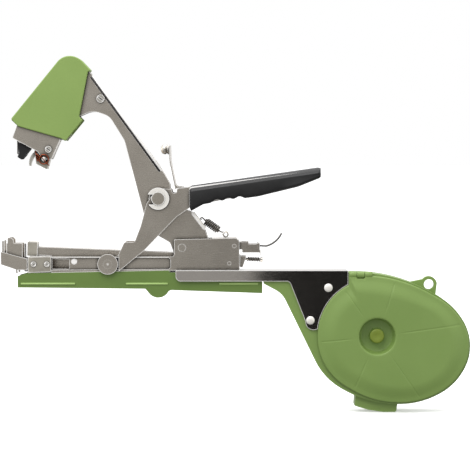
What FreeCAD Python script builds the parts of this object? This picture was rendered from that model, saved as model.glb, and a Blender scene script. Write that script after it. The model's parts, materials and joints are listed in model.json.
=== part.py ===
import FreeCAD, Part
import math
import os

# Hand-held plant tying pliers with a tape reel. Millimetres, +Z up.
# +X runs from the nose to the reel, and y = 0 is the mid-plane of the arms.
# The origin is the centre of the hang hole in the reel case.
# Every side outline is a list of (x, z) or (x, z, corner radius).

# Half length of a cut that goes right across the tool
THROUGH = 12.0

# Hang hole and reel case
HANG_HOLE_R = 3.5
HANG_EAR_R = 5.6
HANG_EAR_HALF = 2.0
HUB = (-36.9, -35.6)
NECK_HALF = 8.7
CASE_FACE = 14.0
CASE_WALL = 1.8
CASE_EDGE_R = 3.0
COVER_GAP = 0.3
HUB_RECESS_R = 12.7
HUB_RECESS_FLOOR = 5.5
HUB_BOSS_R = 5.1
SPINDLE_R = 13.4
CASE_HINGE = (-9.6, 7.2)
CASE_HINGE_PIN_R = 1.0
CASE_KNUCKLE_R = 2.3
CASE_HINGE_SPAN = (-56.6, -40.4)

# Tape roll
CORE_BORE_R = 14.4
CORE_R = 15.8
ROLL_R = 36.0
TAPE_HALF = 5.5

# Main handle bracket
BRACKET_HALF = 10.2
BRACKET_SHEET = 1.5
BRACKET_TOP = 10.2
BRACKET_STRIP_LOW = 2.7
TONGUE_END = -181.8
RIVET_PLACES = ((-70.9, -1.8), (-83.4, -24.6))
RIVET_SHANK_R = 1.6
RIVET_HEAD_R = 2.9
RIVET_HEAD_H = 1.2

# Base cover, the tape channel under the frame
BASE_HALF = 8.0
BASE_WALL = 1.6
BASE_REAR = -116.9
JOINT_LOW = 8.2

# Lower frame with its rear box
FRAME_FRONT = -280.7
FRAME_TOP = 19.8
FRAME_HALF = 8.0
FRAME_INNER = 6.0
TRACK_DEPTH = 1.2
TRACK_LOW = 10.6
TRACK_HIGH = 19.0
BOX_FRONT = -178.4
BOX_REAR = -132.7
BOX_TOP = 32.8
BOX_INNER = 7.0
BOX_FLOOR = BRACKET_TOP
FLOOR_SHEET = 1.0

# Nose
CHEEK_HALF = 8.3
NOSE_SCREWS = ((-276.5, 14.6), (-267.2, 14.6))
GUIDE_HALF = 7.6
GUIDE_SHEET = 0.8
CHUTE_INNER = 5.2
CHUTE_HALF = 6.2

# Clincher arm
ARM_PIVOT = (-173.0, 26.0)
ARM_PIN_R = 2.5
ARM_HALF = 5.6
ARM_INNER = 4.6
RUNNING = 0.05
SCREW_R = 1.2
HEAD_HALF = 8.4
HEAD_WALL = 1.4
HEAD_PLATE_HALF = 6.6
ARM_SCREW = (-229.5, 129.8)
HEAD_SCREW = (-265.9, 94.6)
FINGER_PIN = (-274.0, 92.4)
FINGER_PIN_R = 0.8

# Operating handle
HANDLE_PIVOT = (-189.4, 60.3)
HANDLE_PIN_R = 4.6
CLIP_R = 7.7
LEVER_INNER = 8.4
LEVER_HALF = 9.6
LEVER_FLANGE = 6.4
ROLLER = (-224.7, 14.6)
ROLLER_R = 3.7
BOSS_R = 7.1
GRIP_HALF = 11.6

# Return spring, from the arm's rear flange to the eye on the box
SPRING_HOOK = (-159.2, 46.0)
SPRING_EYE = (-142.6, 35.1)

# Magazine, built level about its pivot pin and then tilted up at the front
MAG_PIN = (-140.0, 15.1)
MAG_PIN_R = 1.1
MAG_TILT = 2.33
MAG_HALF = 4.0
MAG_SHEET = 0.8
MAG_LOW = MAG_PIN[1] - 2.1
MAG_HIGH = MAG_PIN[1] + 5.9
MAG_FRONT = -274.4
ROD_Z = MAG_PIN[1] + 3.1
ROD_R = 0.9
ROD_END = -118.4

# Latch lever behind the box
LATCH_PIN = (-136.5, 27.2)
LATCH_PIN_R = 1.2
LATCH_HALF = 5.4

V = FreeCAD.Vector
ACROSS = V(0, 1, 0)


def point(place, y=0.0):
    return V(place[0], y, place[1])


def rounded(points):
    """A closed side outline whose corners are rounded where a point gives a third value."""
    edges = []
    starts, ends = [], []
    count = len(points)
    for i, spot in enumerate(points):
        here = point(spot)
        before = point(points[i - 1])
        after = point(points[(i + 1) % count])
        radius = spot[2] if len(spot) > 2 else 0.0
        if radius == 0.0:
            starts.append(here)
            ends.append(here)
            edges.append(None)
            continue
        back = (before - here).normalize()
        ahead = (after - here).normalize()
        half = back.getAngle(ahead) / 2
        run = radius / math.tan(half)
        middle = (back + ahead).normalize()
        centre = here + middle * (radius / math.sin(half))
        starts.append(here + back * run)
        ends.append(here + ahead * run)
        edges.append(Part.Arc(starts[-1], centre - middle * radius, ends[-1]).toShape())
    wire = []
    for i in range(count):
        if edges[i]:
            wire.append(edges[i])
        following = starts[(i + 1) % count]
        if (following - ends[i]).Length > 1e-6:
            wire.append(Part.LineSegment(ends[i], following).toShape())
    return Part.Wire(wire)


def curved(start, *steps):
    """A closed side outline of straight steps (x, z) and arcs ((x, z), (x, z)) through a middle point."""
    edges = []
    here = point(start)
    for step in steps:
        if isinstance(step[0], tuple):
            target = point(step[1])
            edges.append(Part.Arc(here, point(step[0]), target).toShape())
        else:
            target = point(step)
            edges.append(Part.LineSegment(here, target).toShape())
        here = target
    if (here - point(start)).Length > 1e-6:
        edges.append(Part.LineSegment(here, point(start)).toShape())
    return Part.Wire(edges)


def slab(wire, low, high):
    """The solid between y = low and y = high with the given side outline."""
    face = Part.Face(wire.translated(V(0, low, 0)))
    return face.extrude(V(0, high - low, 0))


def both_sides(wire, inner, outer):
    return slab(wire, -outer, -inner).fuse(slab(wire, inner, outer))


def block(x0, x1, y0, y1, z0, z1):
    return Part.makeBox(x1 - x0, y1 - y0, z1 - z0, V(x0, y0, z0))


def pin(place, radius, low, high):
    return Part.makeCylinder(radius, high - low, point(place, low), ACROSS)


def tube(place, outer, inner, low, high):
    return pin(place, outer, low, high).cut(pin(place, inner, low - 1, high + 1))


def tilted(shape):
    shape.rotate(point(MAG_PIN), ACROSS, MAG_TILT)
    return shape


def spring(start, end, radius, wire_r, turns):
    """A helical spring between two points."""
    axis = end - start
    helix = Part.makeHelix(axis.Length / turns, axis.Length, radius)
    profile = Part.Wire(Part.makeCircle(wire_r, V(radius, 0, 0), ACROSS))
    coil = Part.Wire(helix.Edges).makePipeShell([profile], True, True)
    coil.Placement = FreeCAD.Placement(start, FreeCAD.Rotation(V(0, 0, 1), axis))
    return coil


def save(name, shape):
    shape = shape.removeSplitter() if len(shape.Solids) == 1 else shape
    shape.exportStep("parts/" + name + ".step")


# Reel case ----------------------------------------------------------------

def case_outline():
    """The neck and the drum in one line: an egg round the hub with its small end to the right."""
    return rounded([
        (-116.0, NECK_HALF), (-116.0, 1.0), (-103.0, -6.0, 16), (-73.9, -65.4, 45), (-42.8, -83.6, 78),
        (-5.4, -83.6, 58), (17.9, -70.2, 40), (28.4, -52.0, 33), (28.4, -33.6, 35), (17.1, -14.1, 48),
        (-23.4, NECK_HALF, 108),
    ])


def cover_outline():
    return rounded([
        (-56.8, 6.9), (-56.8, 0.2, 1), (-78.3, -11.6, 40), (-78.3, -59.5, 40), (-38.9, -82.4, 65),
        (-5.8, -82.4, 55), (17.1, -69.2, 38), (27.3, -51.4, 32), (27.3, -34.0, 29), (16.2, -14.8, 45),
        (-22.9, 6.9, 98),
    ])


def domed(wire, low, high, edge_r):
    """A slab whose outer rim at y = high is rounded."""
    body = slab(wire, low, high)
    rim = [e for e in body.Edges if abs(e.BoundBox.YMin - high) < 1e-6 and e.BoundBox.YLength < 1e-6]
    return body.makeFillet(edge_r, rim)


def inset(wire, distance):
    return wire.makeOffset2D(-distance)


def reel_case_body():
    case = slab(case_outline(), -NECK_HALF, NECK_HALF)
    case = case.fuse(domed(cover_outline(), NECK_HALF - 0.1, CASE_FACE, CASE_EDGE_R))
    ear = curved((-13.0, -3.0), (-13.0, 1.7), (-4.4, 3.5), ((0.0, HANG_EAR_R), (HANG_EAR_R, 0.6)),
                 (4.4, -9.5), (-5.0, -12.0))
    case = case.fuse(slab(ear, -HANG_EAR_HALF, HANG_EAR_HALF))
    tab = rounded([(-51.4, -76.0), (-52.0, -85.2), (-42.8, -88.0, 12), (-32.0, -89.6, 12),
                   (-22.8, -89.6, 1.5), (-21.6, -80.0)])
    case = case.fuse(slab(tab, -5.5, NECK_HALF))
    roll_space = inset(cover_outline(), CASE_WALL)
    case = case.cut(slab(roll_space, -CASE_FACE, CASE_FACE - CASE_WALL))
    way_out = rounded([(-120.0, 2.2), (-104.0, 2.2), (-84.0, -24.0, 20), (-70.0, -62.0),
                       (-60.0, -62.0), (-60.0, -20.0, 12), (-92.0, 6.4, 14), (-120.0, 6.4)])
    case = case.cut(slab(way_out, -6.2, 6.2))
    case = case.fuse(tube(HUB, SPINDLE_R, SPINDLE_R - 2.0, -3.6, CASE_FACE - 1.0))
    case = case.cut(pin((0, 0), HANG_HOLE_R, -6, 6))
    for place in RIVET_PLACES:
        case = case.cut(pin(place, RIVET_SHANK_R, -THROUGH, THROUGH))
    case = case.cut(block(CASE_HINGE_SPAN[0] - 0.4, CASE_HINGE_SPAN[1] + 0.4,
                          -NECK_HALF - 1, CASE_HINGE[0] + CASE_KNUCKLE_R + COVER_GAP, 4.0, 12.0))
    return case.fuse(case_knuckle())


def along_x(x0, x1, place, radius):
    """A round bar along X whose axis passes through (y, z)."""
    return Part.makeCylinder(radius, x1 - x0, V(x0, place[0], place[1]), V(1, 0, 0))


def hinge_thirds():
    start, end = CASE_HINGE_SPAN
    third = (end - start) / 3
    return start + third, end - third


def case_knuckle():
    """The middle knuckle of the cover hinge, on an arm from the case wall."""
    left, right = hinge_thirds()
    left, right = left + 0.2, right - 0.2
    knuckle = along_x(left, right, CASE_HINGE, CASE_KNUCKLE_R)
    arm = block(left, right, CASE_HINGE[0], -5.0, CASE_HINGE[1] - 1.4, CASE_HINGE[1] + 1.4)
    bore = along_x(left - 1, right + 1, CASE_HINGE, CASE_HINGE_PIN_R)
    return knuckle.fuse(arm).cut(bore)


def reel_cover():
    cover = domed(cover_outline(), NECK_HALF + COVER_GAP, CASE_FACE, CASE_EDGE_R)
    hollow = inset(cover_outline(), CASE_WALL)
    cover = cover.cut(slab(hollow, 0, CASE_FACE - CASE_WALL))
    cover = cover.fuse(pin(HUB, HUB_RECESS_R + 1.2, HUB_RECESS_FLOOR - 1.5, CASE_FACE - 1))
    cover = cover.cut(pin(HUB, HUB_RECESS_R, HUB_RECESS_FLOOR, CASE_FACE + 1))
    cover = cover.fuse(pin(HUB, HUB_BOSS_R, HUB_RECESS_FLOOR - 0.5, CASE_FACE - 3))
    cover = cover.mirror(V(0, 0, 0), ACROSS)
    middle = block(hinge_thirds()[0] - 0.1, hinge_thirds()[1] + 0.1, -15, -5, 4.7, 12.0)
    cover = cover.cut(middle)
    for start, end in ((CASE_HINGE_SPAN[0], hinge_thirds()[0] - 0.1),
                       (hinge_thirds()[1] + 0.1, CASE_HINGE_SPAN[1])):
        cover = cover.fuse(along_x(start, end, CASE_HINGE, CASE_KNUCKLE_R))
    bore = along_x(CASE_HINGE_SPAN[0] - 1, CASE_HINGE_SPAN[1] + 1, CASE_HINGE, CASE_HINGE_PIN_R + RUNNING)
    return cover.cut(bore)


def case_hinge_pin():
    return along_x(CASE_HINGE_SPAN[0], CASE_HINGE_SPAN[1], CASE_HINGE, CASE_HINGE_PIN_R)


def reel_core():
    return tube(HUB, CORE_R, CORE_BORE_R, -TAPE_HALF, TAPE_HALF)


def tape_roll():
    return tube(HUB, ROLL_R, CORE_R, -TAPE_HALF, TAPE_HALF)


# Bracket and base ------------------------------------------------------------

def bracket_outline():
    return curved(
        (-173.3, BRACKET_TOP), (-177.3, BRACKET_TOP), (-177.3, BRACKET_STRIP_LOW + 3.5),
        ((-176.3, BRACKET_STRIP_LOW + 1.0), (-173.8, BRACKET_STRIP_LOW)),
        (-99.0, BRACKET_STRIP_LOW), (-97.4, 1.4), (-86.8, -25.4),
        ((-84.6, -30.2), (-79.3, -31.0)),
        (-57.2, -20.0), (-57.2, BRACKET_TOP),
    )


def main_handle_bracket():
    inner = BRACKET_HALF - BRACKET_SHEET
    sides = both_sides(bracket_outline(), inner, BRACKET_HALF)
    web = block(TONGUE_END, -57.2, -BRACKET_HALF, BRACKET_HALF, BRACKET_TOP - BRACKET_SHEET, BRACKET_TOP)
    narrow = block(TONGUE_END - 1, -177.3, -BRACKET_HALF - 1, BRACKET_HALF + 1, 0, 12)
    narrow = narrow.cut(block(TONGUE_END - 1, -177.0, -6, 6, 0, 12))
    cover_place = slab(cover_outline().makeOffset2D(0.4), -THROUGH, THROUGH)
    bracket = sides.fuse(web).cut(narrow).cut(cover_place)
    for place in RIVET_PLACES:
        bracket = bracket.cut(pin(place, RIVET_SHANK_R, -THROUGH, THROUGH))
    return bracket


def bracket_rivets():
    rivets = []
    for place in RIVET_PLACES:
        rivet = pin(place, RIVET_SHANK_R, -BRACKET_HALF, BRACKET_HALF)
        for side in (-1, 1):
            face = side * BRACKET_HALF
            head = Part.makeCone(RIVET_HEAD_R, RIVET_HEAD_R - 1.0, RIVET_HEAD_H,
                                 point(place, face), V(0, side, 0))
            rivet = rivet.fuse(head)
        rivets.append(rivet)
    return Part.makeCompound(rivets)


def base_top(x):
    """Height of the joint line between the base cover and the frame."""
    rise = BRACKET_TOP - JOINT_LOW
    return JOINT_LOW + (x - FRAME_FRONT) * rise / (TONGUE_END - FRAME_FRONT)


def base_cover():
    under_bracket = BRACKET_TOP - BRACKET_SHEET
    side = curved(
        (-287.7, -1.8), (-287.7, 6.2), (FRAME_FRONT, base_top(FRAME_FRONT)),
        (TONGUE_END, BRACKET_TOP), (TONGUE_END, under_bracket), (BASE_REAR, under_bracket),
        (BASE_REAR, -5.8), (-180.3, -3.6),
        ((-181.9, -4.2), (-183.2, -5.8)),
        ((-189.6, -8.9), (-196.0, -5.8)), (-198.5, -2.7),
    )
    cover = slab(side, -BASE_HALF, BASE_HALF)
    room = rounded([(-290.0, -0.2), (-198.0, -1.1), (-183.0, -1.6), (BASE_REAR + 1, -4.2),
                    (BASE_REAR + 1, 12.0), (-290.0, 12.0)])
    cover = cover.cut(slab(room, -BASE_HALF + BASE_WALL, BASE_HALF - BASE_WALL))
    for start, end in ((-285.8, -247.3), (-212.4, -182.7), (-147.3, -119.6)):
        rib = block(start, end, -BASE_HALF - 0.4, BASE_HALF + 0.4, 0.4, 1.2)
        rib = rib.cut(block(start - 1, end + 1, -BASE_HALF + 0.2, BASE_HALF - 0.2, 0, 2))
        cover = cover.fuse(rib)
    return cover


# Lower frame ---------------------------------------------------------------

def frame_outline():
    return rounded([
        (FRAME_FRONT, base_top(FRAME_FRONT)), (FRAME_FRONT, FRAME_TOP),
        (BOX_FRONT, FRAME_TOP, 2.0), (BOX_FRONT, BOX_TOP - 1.0, 0.8),
        (-135.1, BOX_TOP, 0.8), (-133.0, BOX_TOP - 2.2, 0.8), (BOX_REAR, BOX_FLOOR),
        (TONGUE_END, BOX_FLOOR),
    ])


def lower_frame():
    frame = slab(frame_outline(), -FRAME_HALF, FRAME_HALF)
    channel_room = rounded([
        (FRAME_FRONT - 1, base_top(FRAME_FRONT) + FLOOR_SHEET), (FRAME_FRONT - 1, FRAME_TOP + 20),
        (BOX_FRONT, FRAME_TOP + 20), (BOX_FRONT, BOX_FLOOR + FLOOR_SHEET),
        (TONGUE_END, BOX_FLOOR + FLOOR_SHEET)])
    frame = frame.cut(slab(channel_room, -FRAME_INNER, FRAME_INNER))
    frame = frame.cut(block(BOX_FRONT, BOX_REAR + 1, -BOX_INNER, BOX_INNER, BOX_FLOOR + FLOOR_SHEET,
                            BOX_TOP - 1.6))
    frame = frame.cut(block(BOX_FRONT - 1, -152.0, -BOX_INNER, BOX_INNER, FRAME_TOP, BOX_TOP + 5))
    for side in (-1, 1):
        low, high = sorted((side * (FRAME_HALF - TRACK_DEPTH), side * (FRAME_HALF + 1)))
        track = rounded([(-264.0, TRACK_LOW), (-264.0, TRACK_HIGH), (-181.0, TRACK_HIGH, 2),
                         (-181.0, TRACK_LOW + 0.6, 2)])
        frame = frame.cut(slab(track, low, high))
    # The staple window is open on the side of the reel cover only.
    window = rounded([(-263.6, 11.2, 0.8), (-263.6, 18.6, 0.8), (-251.6, 18.6, 0.8), (-251.6, 11.2, 0.8)])
    frame = frame.cut(slab(window, -12, 0))
    cheek_seat = block(FRAME_FRONT - 1, -264.0, -THROUGH, THROUGH, 0, FRAME_TOP)
    cheek_seat = cheek_seat.cut(block(FRAME_FRONT - 2, -263.0, -6.8, 6.8, 0, FRAME_TOP + 1))
    frame = frame.cut(cheek_seat)
    for place, radius in ((ARM_PIVOT, ARM_PIN_R), (MAG_PIN, MAG_PIN_R), (LATCH_PIN, LATCH_PIN_R)):
        frame = frame.cut(pin(place, radius, -THROUGH, THROUGH))
    for place in NOSE_SCREWS:
        frame = frame.cut(pin(place, 1.0, -THROUGH, THROUGH))
    return frame


def nose_cheeks():
    """Two cast cheeks screwed to the front of the frame."""
    outline = rounded([(-280.4, 8.6, 1), (-280.4, 19.5, 1), (-264.3, 19.8, 1), (-264.3, 9.2, 1)])
    cheeks = []
    for low, high in ((-CHEEK_HALF, -6.8), (6.8, CHEEK_HALF)):
        cheek = slab(outline, low, high)
        for place in NOSE_SCREWS:
            cheek = cheek.cut(pin(place, 1.0, -THROUGH, THROUGH))
        cheeks.append(cheek)
    return Part.makeCompound(cheeks)


def screw(place, head_r, head_h, shank_r, face, depth):
    """A screw along Y: its head stands on the face and its shank goes in towards the mid-plane."""
    side = 1 if face > 0 else -1
    head = Part.makeCylinder(head_r, head_h, point(place, face), V(0, side, 0))
    shank = Part.makeCylinder(shank_r, depth, point(place, face), V(0, -side, 0))
    slot = Part.makeBox(head_r * 2.4, head_h, head_h * 0.7, V(0, 0, 0))
    slot.translate(V(-head_r * 1.2, 0, -head_h * 0.35))
    slot.rotate(V(0, 0, 0), ACROSS, 35)
    slot.translate(point(place, face + side * head_h * 0.5 - (head_h if side < 0 else 0)))
    return head.fuse(shank).cut(slot)


def nose_screws():
    faces = (-CHEEK_HALF, CHEEK_HALF)
    depth = CHEEK_HALF - FRAME_INNER
    return Part.makeCompound([screw(p, 1.9, 0.9, 1.0, f, depth) for p in NOSE_SCREWS for f in faces])


def tape_guide():
    """The nose plate, bent round the front and let in between the frame's walls."""
    side = curved((-299.5, 14.2), (-299.5, 23.3), (-281.0, 18.2), (-281.0, 10.2), (-288.8, 10.6))
    guide = both_sides(side, GUIDE_HALF - GUIDE_SHEET, GUIDE_HALF)
    front = block(-299.5, -299.5 + GUIDE_SHEET, -GUIDE_HALF, GUIDE_HALF, 14.2, 23.2)
    guide = guide.fuse(front)
    tongue = block(-284.5, -272.0, 5.2, 6.0, 11.2, 15.8)
    step = block(-284.5, -283.5, 5.2, 7.0, 11.2, 15.8)
    for piece in (tongue, step):
        guide = guide.fuse(piece).fuse(piece.mirror(V(0, 0, 0), ACROSS))
    hook = curved((-289.0, 11.5), (-289.0, 8.6), ((-288.4, 7.8), (-287.5, 8.4)), (-287.9, 11.5))
    return guide.fuse(both_sides(hook, GUIDE_HALF - GUIDE_SHEET, GUIDE_HALF))


def tape_posts():
    """Two upright posts at the nose that keep the tape in line."""
    post = curved((-298.7, 14.5), (-298.7, 30.4), ((-298.0, 31.0), (-297.2, 30.4)), (-296.9, 14.5))
    return both_sides(post, 5.6, GUIDE_HALF - GUIDE_SHEET)


def tape_chute():
    """Inner guide block: two walls and a floor, with a thin tab on each wall."""
    wall = curved((-295.5, 19.4), (-295.5, 29.0), (-284.4, 29.0), (-284.4, 17.2), (-286.0, 17.2))
    chute = both_sides(wall, CHUTE_INNER, CHUTE_HALF)
    floor = rounded([(-295.5, 19.4), (-295.5, 20.6), (-284.4, 18.4), (-284.4, 17.2)])
    chute = chute.fuse(slab(floor, -CHUTE_HALF, CHUTE_HALF))
    tab = curved((-294.9, 28.5), (-294.9, 33.0), (-292.4, 33.0), (-290.6, 31.4), (-290.6, 28.5))
    chute = chute.fuse(both_sides(tab, CHUTE_INNER + 0.2, CHUTE_HALF))
    ledge = block(-286.0, -283.4, CHUTE_HALF - 0.5, GUIDE_HALF - GUIDE_SHEET, 16.0, 18.2)
    return chute.fuse(ledge).fuse(ledge.mirror(V(0, 0, 0), ACROSS))


def driver_plate():
    """The fixed blade that pushes the front staple out as the magazine is pressed down."""
    foot = base_top(-278.0) + FLOOR_SHEET + 0.02
    blade = block(-283.2, -282.7, -3.0, 3.0, foot, 28.6)
    seat = block(-283.2, -278.0, -3.0, 3.0, foot, foot + 1.0)
    wing = block(-283.2, -278.0, -FRAME_INNER, FRAME_INNER, foot, foot + 0.8)
    return blade.fuse(seat).fuse(wing)


def arm_pivot_pin():
    return pin(ARM_PIVOT, ARM_PIN_R, -FRAME_HALF - 0.1, FRAME_HALF + 0.1)


def magazine_pivot_pin():
    return pin(MAG_PIN, MAG_PIN_R, -FRAME_HALF, FRAME_HALF)


def latch_pin():
    return pin(LATCH_PIN, LATCH_PIN_R, -FRAME_HALF, FRAME_HALF)


def spring_anchor():
    """A round eye standing on the roof of the box."""
    eye = Part.makeTorus(1.7, 0.6, point(SPRING_EYE), ACROSS)
    stem = block(SPRING_EYE[0] - 1.0, SPRING_EYE[0] + 1.0, -0.6, 0.6, BOX_TOP - 0.15, BOX_TOP + 0.9)
    return eye.fuse(stem)


def bar(start, end, radius):
    return Part.makeCylinder(radius, (end - start).Length, start, end - start)


def return_spring():
    """An extension spring with a straight leg at each end of its coil."""
    start, end = V(-156.6, 0, 44.2), V(-147.6, 0, 37.8)
    coil = spring(start, end, 2.1, 0.45, 8)
    upper = bar(point(SPRING_HOOK), start, 0.45)
    lower = bar(end, point(SPRING_EYE) + V(-2.4, 0, 0.8), 0.45)
    return Part.makeCompound([coil, upper, lower])


# Clincher arm ---------------------------------------------------------------

def arm_outline():
    return rounded([
        (-245.0, 153.5), (-240.5, 151.2), (-235.3, 146.4), (-185.5, 78.2, 6), (-181.2, 70.5, 3),
        (-180.6, 60.0, 2), (-178.3, 55.4, 2), (-166.0, 50.8, 1),
        (-156.6, 38.2, 2), (-154.0, 30.0, 3), (-163.0, 18.5, 6), (-177.5, 18.5, 5), (-181.5, 29.5, 3),
        (-191.0, 35.0, 2), (-199.6, 49.2, 10), (-213.0, 100.6, 12), (-223.5, 117.5, 10),
        (-235.0, 121.5, 12), (-244.0, 117.6, 1), (-252.5, 101.6, 1), (-262.0, 100.5),
        (-285.5, 108.5), (-290.0, 114.8), (-257.5, 153.5, 6),
    ])


def arm_back_outline():
    return rounded([(-235.3, 146.4), (-185.5, 78.2, 6), (-181.2, 70.5), (-182.2, 70.2),
                    (-186.4, 77.8, 7), (-236.1, 145.8)])


def arm_rear_outline():
    return rounded([(-166.0, 50.8), (-156.6, 38.2), (-157.4, 37.6), (-166.8, 50.2)])


def clincher_arm():
    sides = both_sides(arm_outline(), ARM_INNER, ARM_HALF)
    arm = sides.fuse(slab(arm_back_outline(), -ARM_HALF, ARM_HALF))
    arm = arm.fuse(slab(arm_rear_outline(), -ARM_HALF, ARM_HALF))
    arm = arm.cut(pin(ARM_PIVOT, ARM_PIN_R + RUNNING, -THROUGH, THROUGH))
    arm = arm.cut(pin(HANDLE_PIVOT, HANDLE_PIN_R, -THROUGH, THROUGH))
    arm = arm.cut(pin(ARM_SCREW, SCREW_R, -THROUGH, THROUGH))
    return arm


def head_cover_outline():
    return rounded([(-291.9, 115.4, 1.5), (-255.9, 159.3, 10.8), (-245.5, 159.3, 11.7),
                    (-236.2, 149.4, 0.8), (-238.1, 148.0, 0.8), (-244.2, 117.1, 1.5),
                    (-241.7, 114.7, 0.6), (-253.7, 100.2, 1), (-257.5, 102.2, 1), (-286.7, 110.5, 1)])


def head_cover():
    hood = slab(head_cover_outline(), -HEAD_HALF, HEAD_HALF)
    rim = [e for e in hood.Edges if e.BoundBox.YLength < 1e-6 and e.BoundBox.ZMax > 118]
    hood = hood.makeFillet(0.8, [e for e in rim if e.BoundBox.DiagonalLength > 4])
    room = rounded([(-290.3, 115.2, 1), (-255.3, 157.9, 9.4), (-246.1, 157.9, 10.3), (-235.0, 146.0),
                    (-235.0, 96.0), (-286.0, 96.0)])
    return hood.cut(slab(room, -HEAD_HALF + HEAD_WALL, HEAD_HALF - HEAD_WALL))


def arm_screw():
    faces = (-ARM_HALF, ARM_HALF)
    screws = [screw(ARM_SCREW, 2.8, 1.2, SCREW_R, f, ARM_HALF - 0.5) for f in faces]
    return Part.makeCompound(screws)


def head_plate():
    """The steel jaw housing: two cheeks and a cross wall, riveted outside the arm's sides."""
    side = rounded([(-287.6, 111.4), (-291.0, 102.5, 0.8), (-273.1, 92.8, 0.8), (-270.3, 87.6, 0.8),
                    (-263.8, 87.6, 0.8), (-257.8, 101.2, 1), (-257.0, 103.4), (-285.0, 113.2)])
    plate = both_sides(side, ARM_HALF, HEAD_PLATE_HALF)
    wall = rounded([(-263.8, 88.2), (-257.8, 101.6), (-258.8, 102.0), (-264.8, 88.6)])
    plate = plate.fuse(slab(wall, -HEAD_PLATE_HALF, HEAD_PLATE_HALF))
    plate = plate.cut(both_sides(arm_outline(), ARM_INNER, ARM_HALF))
    return plate.cut(pin(HEAD_SCREW, SCREW_R, -THROUGH, THROUGH))


def head_screws():
    faces = (-HEAD_PLATE_HALF, HEAD_PLATE_HALF)
    return Part.makeCompound([screw(HEAD_SCREW, 2.3, 1.2, SCREW_R, f, 2.0) for f in faces])


def clincher_jaw():
    """The block that bends the staple legs over."""
    side = rounded([(-276.2, 98.6), (-274.8, 84.4, 0.6), (-266.9, 80.2, 0.6), (-264.9, 88.4), (-262.0, 98.6)])
    jaw = slab(side, -ARM_INNER, ARM_INNER)
    across = V(-266.9 + 274.8, 0, 80.2 - 84.4).normalize()
    for y in (-2.2, 2.2):
        groove = Part.makeCylinder(0.7, 4.0, V(-273.8, y, 83.6), across)
        jaw = jaw.cut(groove)
    jaw = jaw.cut(block(-280.0, -271.4, -1.2, 1.2, 80.0, 97.0))
    return jaw.cut(pin(FINGER_PIN, FINGER_PIN_R, -6, 6))


def finger_spring():
    """The small spring beside the jaw that swings the finger back."""
    return spring(V(-274.9, -5.7, 93.4), V(-273.2, -5.7, 86.4), 0.75, 0.25, 7)


def finger_pin():
    return pin(FINGER_PIN, FINGER_PIN_R, -ARM_INNER, ARM_INNER)


def tape_pad():
    side = rounded([(-285.6, 99.0), (-277.6, 98.65), (-278.3, 95.2), (-281.3, 91.4), (-282.1, 90.0),
                    (-284.7, 87.2, 0.8), (-287.9, 89.3, 0.8), (-286.4, 92.0), (-287.1, 95.6), (-287.1, 99.9)])
    return slab(side, -4.4, 4.4)


def pad_carrier():
    """The cross block between the jaw housing's cheeks that holds the black pad."""
    side = rounded([(-289.0, 103.2), (-287.1, 99.9), (-285.6, 99.0), (-276.2, 98.6), (-262.0, 98.6),
                    (-262.0, 102.0), (-284.0, 108.0)])
    carrier = slab(side, -ARM_HALF, ARM_HALF)
    return carrier.cut(both_sides(arm_outline(), ARM_INNER, ARM_HALF + 1))


def cutter_blade():
    side = rounded([(-287.9, 101.0), (-287.9, 91.6), (-287.4, 91.0), (-287.4, 100.0)])
    return slab(side, -4.2, 4.2)


def handle_pivot_pin():
    return pin(HANDLE_PIVOT, HANDLE_PIN_R, -LEVER_HALF - 1.8, LEVER_HALF + 1.8)


def pivot_bushes():
    gap = 0.15
    pair = [tube(HANDLE_PIVOT, 6.6, HANDLE_PIN_R, ARM_HALF, LEVER_INNER - gap),
            tube(HANDLE_PIVOT, 6.6, HANDLE_PIN_R, -LEVER_INNER + gap, -ARM_HALF)]
    return Part.makeCompound(pair)


def pivot_clips():
    """A flat open clip with three prongs on each end of the handle pivot pin."""
    clips = []
    low = LEVER_HALF + 0.3
    for start in (low, -low - 1.0):
        ring = tube(HANDLE_PIVOT, CLIP_R, HANDLE_PIN_R, start, start + 1.0)
        mouth = block(-205.0, HANDLE_PIVOT[0], -15, 15, HANDLE_PIVOT[1] - 4.0, HANDLE_PIVOT[1] + 3.0)
        clips.append(ring.cut(mouth))
    return Part.makeCompound(clips)


def tape_finger():
    """The curved finger that catches the end of the tape."""
    side = curved((-275.4, 93.4), ((-279.3, 88.9), (-280.0, 83.0)), (-278.4, 82.4),
                  ((-277.1, 87.4), (-273.6, 92.0)))
    eye = pin(FINGER_PIN, 1.9, -0.9, 0.9)
    return slab(side, -0.9, 0.9).fuse(eye).cut(pin(FINGER_PIN, FINGER_PIN_R + RUNNING, -5, 5))


# Operating handle -------------------------------------------------------------

def lever_outline():
    return rounded([
        (-231.0, 8.4), (-231.0, 20.6), (-217.5, 20.6, 1), (-213.2, 29.9, 1), (-206.0, 30.0, 2),
        (-201.6, 41.5, 4), (-197.5, 57.0, 5), (-190.5, 67.4, 7), (-180.2, 67.0, 1), (-179.4, 64.2, 1),
        (-176.8, 64.2, 1), (-176.4, 67.3, 0.8), (-86.0, 79.0, 3), (-86.0, 73.0, 3), (-120.0, 64.5, 20),
        (-166.0, 55.0, 3), (-176.8, 47.5, 10), (-199.0, 24.4, 8), (-217.0, 9.6),
    ])


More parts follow.
